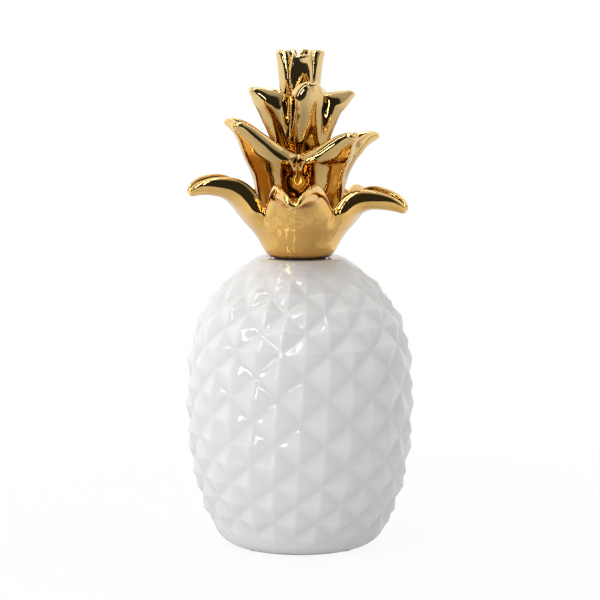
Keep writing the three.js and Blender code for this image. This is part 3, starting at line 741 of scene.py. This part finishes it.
class Whorl:
    """One whorl of gutter-shaped leaves that grow out of a round cup, as one closed shell"""

    def __init__(self, plan, sizes, index, floor_height):
        self.plan = plan
        self.stations = plan["stations"]
        self.notch = plan["notch"]
        self.last = len(self.stations) - 1
        self.turns = [math.radians(turn) for turn in plan["turns"]]
        self.floor_height = floor_height
        for size in ("reach", "rise", "floor_radius", "gutter_depth", "half_width", "leaf_wall",
                     "stub_radius", "cup_clearance"):
            setattr(self, size, getattr(sizes, size)[index])
        # Each point stores its share of painted shade for the gold
        self.shell = Shell("crease_shade")

    def turn_of(self, leaf):
        lap, index = divmod(leaf, len(self.turns))
        return self.turns[index] + lap * 2.0 * math.pi

    def half_angle(self, leaf, side):
        return abs(self.turn_of(leaf + side) - self.turn_of(leaf)) / 2.0

    def section(self, leaf, place):
        """Keel place and section sizes of a leaf at one place along it"""
        out, rise, lean, depth, width, wall = station_at(self.stations, place)
        span = (self.reach - self.floor_radius) * (1.0 - self.plan["short_shares"][leaf])
        free = max(place - self.notch, 0.0) / (self.last - self.notch)
        droop = self.plan["droop_shares"][leaf] * free * (2.0 - free)
        lay = self.plan["lay_shares"][leaf] * 4.0 * free * (1.0 - free)
        return {
            "radius": self.floor_radius + span * (out + lay),
            "height": self.floor_height + self.rise * (rise - droop - lay),
            "lean": math.radians(lean),
            "depth": self.gutter_depth * depth,
            "half_width": self.half_width * width,
            "wall": self.leaf_wall * wall,
            "free": free,
        }

    def lip(self, leaf, place, side):
        """Sideways distance and depth of a lip, measured from the keel"""
        here, notch = self.section(leaf, place), self.section(leaf, self.notch)
        half_angle = self.half_angle(leaf, side)
        spread = math.tan(half_angle)
        round_depth = self.floor_radius * (1.0 - math.cos(half_angle))
        cup = max(1.0 - place / self.notch, 0.0) ** 2
        depth = here["depth"] + (round_depth - self.section(leaf, 0.0)["depth"]) * cup
        if place <= self.notch:
            return (here["radius"] - depth * math.cos(here["lean"])) * spread, depth
        notch_width = (notch["radius"] - notch["depth"] * math.cos(notch["lean"])) * spread
        return here["half_width"] + (notch_width - notch["half_width"]) * (1.0 - here["free"]) ** 4, depth

    def outline(self, leaf, place, side, share):
        """A section's outside at a share of the way from the keel to a lip, as (sideways, inward)

        In the round cup it is part of a circle; along the leaf it is a U whose walls lean in at the lips.
        """
        width, depth = self.lip(leaf, place, side)
        radius = (width ** 2 + depth ** 2) / (depth * 2.0)
        angle = math.atan2(depth, width) * 2.0 * share
        circle = (radius * math.sin(angle), radius * (1.0 - math.cos(angle)))
        quarter = math.pi / 2.0 * share
        upright = 1.0 - max(math.cos(quarter), 0.0) ** (2.0 / WALL_FULLNESS)
        spread = math.sin(quarter) ** (2.0 / WALL_FULLNESS) / (1.0 - LIP_CURL_SHARE)
        curled = (width * spread * (1.0 - LIP_CURL_SHARE * upright ** 2), depth * upright)
        blend = smooth_share(place, 0.0, self.notch)
        blend *= 1.0 - smooth_share(self.section(leaf, place)["free"], 0.4, 1.0)
        return [c + (u - c) * blend for c, u in zip(circle, curled)]

    def direction(self, leaf, place, side, share):
        """Unit direction of a section's outside, towards the lip"""
        step = 0.02
        start = self.outline(leaf, place, side, max(share - step, 0.0))
        end = self.outline(leaf, place, side, min(share + step, 1.0))
        aside, inward = end[0] - start[0], end[1] - start[1]
        length = math.hypot(aside, inward)
        return aside / length, inward / length

    def leaf_point(self, leaf, place, across, inside):
        """A point on the outside of a leaf, or a wall's thickness inside it; across runs from -1 to 1"""
        side = 1 if across >= 0 else -1
        here = self.section(leaf, place)
        aside, inward = self.outline(leaf, place, side, abs(across))
        if inside:
            along = self.direction(leaf, place, side, abs(across)) if across else (1.0, 0.0)
            aside -= here["wall"] * along[1]
            inward += here["wall"] * along[0]
        turn = self.turn_of(leaf)
        radial = here["radius"] - inward * math.cos(here["lean"])
        point = outward(turn) * radial + sideways(turn) * (aside * side)
        point.z = here["height"] + inward * math.sin(here["lean"])
        if place <= self.notch and abs(across) == 1:
            middle = outward(turn + self.half_angle(leaf, side) * side)
            distance = point.x * middle.x + point.y * middle.y
            point.x, point.y = middle.x * distance, middle.y * distance
        if place == 0:
            point.z = here["height"]
        return point

    def lip_direction(self, leaf, place, side):
        aside, inward = self.direction(leaf, place, side, 1.0)
        lean = self.section(leaf, place)["lean"]
        turn = self.turn_of(leaf)
        direction = outward(turn) * (-math.cos(lean) * inward) + sideways(turn) * (aside * side)
        direction.z = math.sin(lean) * inward
        return direction

    def rounded_edge(self, outer, inner, direction):
        """An outside point, points over a half-round edge, and an inside point"""
        a, b = self.shell.points[outer], self.shell.points[inner]
        middle = (a + b) / 2.0
        ahead = direction.normalized() * ((a - b).length / 2.0)
        made = [outer]
        for i in range(1, EDGE_STEPS + 1):
            angle = math.pi * i / (EDGE_STEPS + 1)
            point = middle + (a - middle) * math.cos(angle) + ahead * math.sin(angle)
            made.append(self.shell.add(point, 0.0))
        return made + [inner]

    def skin(self, places, inside, root_shade):
        """Rows of points on the outside or inside; neighbours share their edges up to the notch"""
        rows, last_leaf = [], len(self.turns) - 1

        def point_at(leaf, k, i):
            place = places[k]
            if place <= self.notch and i == 0 and leaf > 0:
                return rows[leaf - 1][k][SIDES_PER_LEAF]
            if place <= self.notch and i == SIDES_PER_LEAF and leaf == last_leaf:
                return rows[0][k][0]
            across = (i - SIDES_PER_HALF_LEAF) / SIDES_PER_HALF_LEAF
            # Painted shade, full from a leaf's root up to the notch and gone by its tip
            crease_shade = (1.0 - self.section(leaf, place)["free"]) ** 2 * root_shade
            return self.shell.add(self.leaf_point(leaf, place, across, inside), crease_shade)

        columns = range(SIDES_PER_LEAF + 1)
        for leaf in range(last_leaf + 1):
            rows.append([[point_at(leaf, k, i) for i in columns] for k in range(len(places))])
        return rows

    def close_edges(self, leaf, places, outer, inner, notch_edges):
        """The two rounded lips and the blunt tip of a free leaf"""
        ends = []
        for side, column, edge in ((-1, 0, notch_edges[leaf - 1]), (1, SIDES_PER_LEAF, notch_edges[leaf])):
            for k in range(self.notch + 1, len(places)):
                direction = self.lip_direction(leaf, places[k], side)
                after = self.rounded_edge(outer[k][column], inner[k][column], direction)
                for a, b, c, d in zip(edge, edge[1:], after[1:], after):
                    self.shell.face(*((d, a, b, c) if side > 0 else (a, d, c, b)))
                edge = after
            ends.append(edge)
        lean = self.section(leaf, self.last)["lean"]
        ahead = outward(self.turn_of(leaf)) * math.sin(lean)
        ahead.z = math.cos(lean)
        tips = [self.rounded_edge(outer[-1][i], inner[-1][i], ahead) for i in range(1, SIDES_PER_LEAF)]
        columns = [ends[0], *tips, ends[1]]
        for left, right in zip(columns, columns[1:]):
            for a, b, c, d in zip(left, right, right[1:], left[1:]):
                self.shell.face(a, b, c, d)

    def build(self, underside, floor_rings, underside_shade):
        """The whole shell; underside and floor_rings are lists of (radius, height) that end at the axis"""
        shell, count, sides, notch = self.shell, len(self.turns), SIDES_PER_LEAF, self.notch
        free_steps = STATIONS_ALONG_LEAF - notch
        places = [float(i) for i in range(notch + 1)]
        places += [notch + (self.last - notch) * (i + 1) / free_steps for i in range(free_steps)]
        outer, inner = self.skin(places, False, underside_shade), self.skin(places, True, 1.0)
        up = Vector((0.0, 0.0, 1.0))
        notch_edges = [self.rounded_edge(outer[leaf][notch][sides], inner[leaf][notch][sides], up)
                       for leaf in range(count)]
        for leaf in range(count):
            o, n = outer[leaf], inner[leaf]
            for k in range(len(places) - 1):
                for i in range(sides):
                    shell.face(o[k][i], o[k][i + 1], o[k + 1][i + 1], o[k + 1][i])
                    shell.face(n[k][i], n[k + 1][i], n[k + 1][i + 1], n[k][i + 1])
            self.close_edges(leaf, places, o, n, notch_edges)

        turns = []
        for leaf in range(count):
            for i in range(sides):
                side = -1 if i < SIDES_PER_HALF_LEAF else 1
                share = (i - SIDES_PER_HALF_LEAF) / SIDES_PER_HALF_LEAF
                turns.append(self.turn_of(leaf) + share * self.half_angle(leaf, side))

        def ring(radius, height, crease_shade):
            return [shell.add(outward(turn) * radius + up * height, crease_shade) for turn in turns]

        # The underside rings carry the underside's painted shade, and the cup's floor is painted in full
        # shade
        upper = [index for leaf in outer for index in leaf[0][:sides]]
        for radius, height in underside[:-1]:
            lower = ring(radius, height, underside_shade)
            shell.band(lower, upper)
            upper = lower
        shell.fan(upper, shell.add((0.0, 0.0, underside[-1][1]), 0.0), True)
        around = [index for leaf in inner for index in leaf[0][:sides]]
        for radius, height in floor_rings[:-1]:
            nearer = ring(radius, height, 1.0)
            shell.band(around, nearer)
            around = nearer
        shell.fan(around, shell.add((0.0, 0.0, floor_rings[-1][1]), 1.0), False)
        return shell


def creased(profile, edge):
    """A profile of (radius, height) with each corner held by a point on either side of it"""
    held = [profile[0]]
    for before, here, after in zip(profile, profile[1:], profile[2:]):
        for other in (before, after):
            length = math.hypot(other[0] - here[0], other[1] - here[1])
            share = min(edge / max(length, 1e-9), 0.4)
            held.append((here[0] + (other[0] - here[0]) * share, here[1] + (other[1] - here[1]) * share))
    held.append(profile[-1])
    return held


def floor_profile(whorl):
    """A cup's floor in from the wall, with the stub that locates the next whorl"""
    floor = whorl.floor_height
    if whorl.stub_radius <= 0:
        return [(whorl.floor_radius * 0.4, floor), (0.0, floor)]
    stub, top = whorl.stub_radius, floor + STUB_HEIGHT
    corners = [(stub + 2 * MM, floor), (stub, floor), (stub, top), (0.0, top)]
    return creased(corners, 0.4 * MM)


def collar_profile(whorl, mouth_radius):
    """The flared collar under the lowest cup, and the hollow spigot that drops into the mouth"""
    bottom = SEAT_Z + SEAT_GAP
    height = whorl.floor_height - bottom
    landing = mouth_radius + COLLAR_LANDING
    flare = whorl.floor_radius - landing
    flare_shares = ((0.76, 0.83), (0.57, 0.64), (0.4, 0.43), (0.2, 0.13))
    spigot = mouth_radius - SPIGOT_CLEARANCE
    bore = spigot - SPIGOT_WALL
    spigot_bottom = bottom - SPIGOT_LENGTH
    bore_top = whorl.floor_height - whorl.leaf_wall
    curve = [(landing + flare * out, bottom + height * up) for out, up in flare_shares]
    corners = [curve[-1], (landing, bottom), (spigot, bottom), (spigot, spigot_bottom),
               (bore, spigot_bottom), (bore, bore_top), (0.0, bore_top)]
    return curve + creased(corners, 0.5 * MM)[1:]


def foot_profile(whorl, below):
    """The hollow foot of an upper whorl, with the socket that takes the stub below"""
    bottom = below.floor_height + SEAT_GAP
    foot = below.floor_radius - below.leaf_wall - whorl.cup_clearance
    out, up = whorl.plan["shoulder_shares"]
    shoulder = foot + (whorl.floor_radius - foot) * out
    socket = below.stub_radius + STUB_CLEARANCE
    socket_top = whorl.floor_height - whorl.leaf_wall
    middle = (shoulder, bottom + (whorl.floor_height - bottom) * up)
    corners = [middle, (foot, bottom), (socket, bottom), (socket, socket_top), (0.0, socket_top)]
    return [middle] + creased(corners, 0.6 * MM)[1:]


class PINEAPPLE_OT_crown(bpy.types.Operator):
    """Make the four golden whorls of leaves"""

    bl_idname = "pineapple.crown"
    bl_label = "Make Crown"

    def execute(self, context):
        sizes = context.scene.pineapple_crown
        mouth_radius = context.scene.pineapple_body.mouth_radius
        gold = gold_material(sizes)
        floor_height = SEAT_Z + SEAT_GAP
        below = None
        for index, plan in enumerate(WHORLS):
            floor_height += sizes.floor_above[index]
            whorl = Whorl(plan, sizes, index, floor_height)
            underside = foot_profile(whorl, below) if below else collar_profile(whorl, mouth_radius)
            # The upper whorls' feet and outsides are painted in shade; the lowest whorl's collar and outside
            # are not
            shell = whorl.build(underside, floor_profile(whorl), 1.0 if below else 0.0)
            piece = shell.to_object(plan["node"] + "_gilded")
            piece.data.materials.append(gold)
            smooth = piece.modifiers.new("Smooth", "SUBSURF")
            smooth.levels = 2
            smooth.render_levels = 2
            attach(piece, "crown_lid")
            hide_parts(plan["node"])
            below = whorl
        return {"FINISHED"}


# The felt pads

def round_pads(tree, given):
    """Geometry nodes: round pads on the points of a circle, standing on the surface"""
    circle = tree.wire("GeometryNodeMeshCircle", {
        "Vertices": given["Pads"],
        "Radius": given["Circle Radius"],
    })
    half_step = given["Pads"].math("DIVIDE", math.pi, given["Pads"])
    placed = tree.wire("GeometryNodeTransform", {
        "Geometry": circle,
        "Translation": tree.wire("ShaderNodeCombineXYZ", {"Z": given["Pad Thickness"] * 0.5}),
        "Rotation": tree.wire("ShaderNodeCombineXYZ", {"Z": half_step}),
    })
    disc = tree.wire("GeometryNodeMeshCylinder", {
        "Vertices": 40,
        "Side Segments": 4,
        "Fill Segments": 5,
        "Radius": given["Pad Radius"],
        "Depth": given["Pad Thickness"],
    }, fill_type="NGON")
    return tree.wire("GeometryNodeInstanceOnPoints", {"Points": placed, "Instance": disc})


class PINEAPPLE_OT_pads(bpy.types.Operator):
    """Make the felt pads under the foot ring"""

    bl_idname = "pineapple.pads"
    bl_label = "Make Felt Pads"

    def execute(self, context):
        settings = context.scene.pineapple_body
        pads = new_object("felt_pads", bpy.data.meshes.new("felt_pads"))
        grow(pads, "Felt pads", round_pads, {
            "Pads": len(PAD_NAMES),
            "Circle Radius": settings.foot_radius - settings.foot_ring_width / 2.0,
            "Pad Radius": (PAD_HIGH.x - PAD_LOW.x) / 2.0,
            "Pad Thickness": PAD_HIGH.z - PAD_LOW.z,
            "Material": felt_material(context.scene.pineapple_studio),
        })
        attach(pads, "jar")
        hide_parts(*PAD_NAMES)
        return {"FINISHED"}


# The studio

# Each lamp's name, place, the width and height of its face, and its power
LAMPS = (
    ("key_light", (-1.25, -1.5, 0.85), (0.14, 1.7), 9.4),
    ("high_key_light", (-0.68, -0.82, 1.85), (0.09, 1.4), 4.4),
    ("second_key_light", (-0.62, -1.7, 0.62), (0.06, 1.3), 3.2),
    ("second_high_light", (-0.37, -1.03, 1.82), (0.035, 1.3), 2.3),
    ("side_light", (-1.75, -0.85, 0.8), (0.06, 1.5), 2.9),
    ("shoulder_light", (-0.05, -0.3, 1.95), (0.9, 0.04), 2.2),
    ("fill_light", (1.6, 0.2, 1.2), (1.0, 1.0), 1.4),
)
LAMPS_AIM = Vector((0.0, 0.0, 0.15))
FLOOR_REACH = 6.0


class PINEAPPLE_OT_studio(bpy.types.Operator):
    """Set the pale floor, the soft lights and the camera"""

    bl_idname = "pineapple.studio"
    bl_label = "Set Studio"

    def add_floor(self, settings):
        mesh = bpy.data.meshes.new("studio_floor")
        low, high = -FLOOR_REACH, FLOOR_REACH
        corners = [(low, low, 0), (high, low, 0), (high, high, 0), (low, high, 0)]
        mesh.from_pydata(corners, [], [(0, 1, 2, 3)])
        mesh.materials.append(floor_material(settings))
        card = new_object("studio_floor", mesh)

    def add_lamp(self, name, place, size, power):
        data = bpy.data.lights.new(name, "AREA")
        data.shape = "RECTANGLE"
        data.size, data.size_y = size
        data.energy = power
        lamp = new_object(name, data)
        lamp.location = place
        lamp.rotation_euler = (LAMPS_AIM - Vector(place)).to_track_quat("-Z", "Y").to_euler()

    def set_world(self, context):
        """A white tent, brighter on the left and behind, with a dark room in front; the camera sees white"""
        world = bpy.data.worlds.new("studio_world")
        context.scene.world = world
        world.use_nodes = True
        tree = Tree(world.node_tree)
        seen = tree.wire("ShaderNodeLightPath", {}, "Is Camera Ray")
        across, ahead, up = tree.split(tree.wire("ShaderNodeTexCoord", {}, "Generated"))
        in_front = tree.step_between(ahead * -0.94 + across * -0.34, 0.2, 0.5)
        below_tent = 1.0 - tree.step_between(up, 0.55, 0.75)
        room = in_front * below_tent
        tent = 0.62 - across * 0.22 + tree.step_between(ahead, -0.4, 0.6) * 0.45
        light = tent * (1.0 - room) + room * DARK_ROOM
        strength = seen + (1.0 - seen) * light
        tree.feed(tree.existing("BACKGROUND"), {"Color": WHITE, "Strength": strength})

    def add_camera(self, context, settings):
        data = bpy.data.cameras.new("camera")
        data.lens = settings.camera_lens
        camera = new_object("camera", data)
        camera.location = (0.0, -settings.camera_distance, settings.camera_height)
        camera.rotation_euler = (math.pi / 2.0 - settings.camera_pitch, 0.0, 0.0)
        context.scene.camera = camera

    def execute(self, context):
        settings = context.scene.pineapple_studio
        self.add_floor(settings)
        for lamp in LAMPS:
            self.add_lamp(*lamp)
        self.set_world(context)
        self.add_camera(context, settings)
        context.scene.view_settings.view_transform = "Standard"
        return {"FINISHED"}


SETTINGS = {
    "pineapple_body": BodySettings,
    "pineapple_crown": CrownSettings,
    "pineapple_studio": StudioSettings,
}
OPERATORS = (PINEAPPLE_OT_studio, PINEAPPLE_OT_body, PINEAPPLE_OT_crown, PINEAPPLE_OT_pads)


class PINEAPPLE_PT_panel(bpy.types.Panel):
    """Lists the makers of the ornament's pieces and their settings"""

    bl_idname = "PINEAPPLE_PT_panel"
    bl_label = "Ceramic Pineapple"
    bl_space_type = "VIEW_3D"
    bl_region_type = "UI"
    bl_category = "Pineapple"

    def draw(self, context):
        for operator in OPERATORS:
            self.layout.operator(operator.bl_idname)
        for name, group in SETTINGS.items():
            for key in group.__annotations__:
                self.layout.prop(getattr(context.scene, name), key)


CLASSES = (*SETTINGS.values(), *OPERATORS, PINEAPPLE_PT_panel)


def register():
    for cls in CLASSES:
        bpy.utils.register_class(cls)
    for name, group in SETTINGS.items():
        setattr(bpy.types.Scene, name, PointerProperty(type=group))


def unregister():
    for name in SETTINGS:
        delattr(bpy.types.Scene, name)
    for cls in reversed(CLASSES):
        bpy.utils.unregister_class(cls)


def main():
    register()
    bpy.ops.pineapple.studio()
    bpy.ops.pineapple.body()
    bpy.ops.pineapple.crown()
    bpy.ops.pineapple.pads()


if __name__ == "__main__":
    main()
